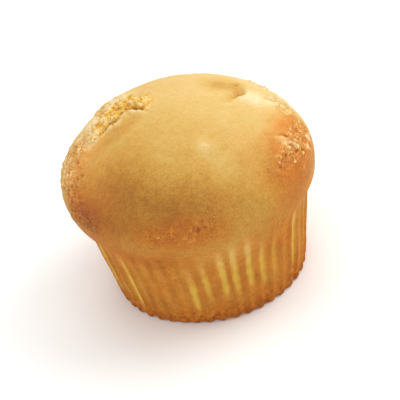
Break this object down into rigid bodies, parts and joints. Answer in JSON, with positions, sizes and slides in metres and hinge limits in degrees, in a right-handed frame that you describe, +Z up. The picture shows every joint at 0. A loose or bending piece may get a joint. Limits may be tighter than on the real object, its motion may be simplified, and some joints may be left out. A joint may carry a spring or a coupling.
{
  "type": "muffin",
  "caption": "Plain golden muffin with a domed, lightly split cap and a fluted side left by its pleated baking case, standing on a flat foot.",
  "frame": {"origin": "on the plane of the flat foot, under the middle of the muffin's box", "axes": "+Z up from the foot to the top of the cap; -Y is the front, with the split at the front left (-X) and the fold at the right (+X)"},
  "size_m": [0.0774, 0.0794, 0.061],
  "materials": {
    "muffin_cake": "baked cake crust: golden, faintly glossy on the cap, browner at the rim and foot, with pale streaks in the side's grooves"
  },
  "bodies": {
    "root": {"muffin": "muffin_cake"}
  },
  "joints": []
}
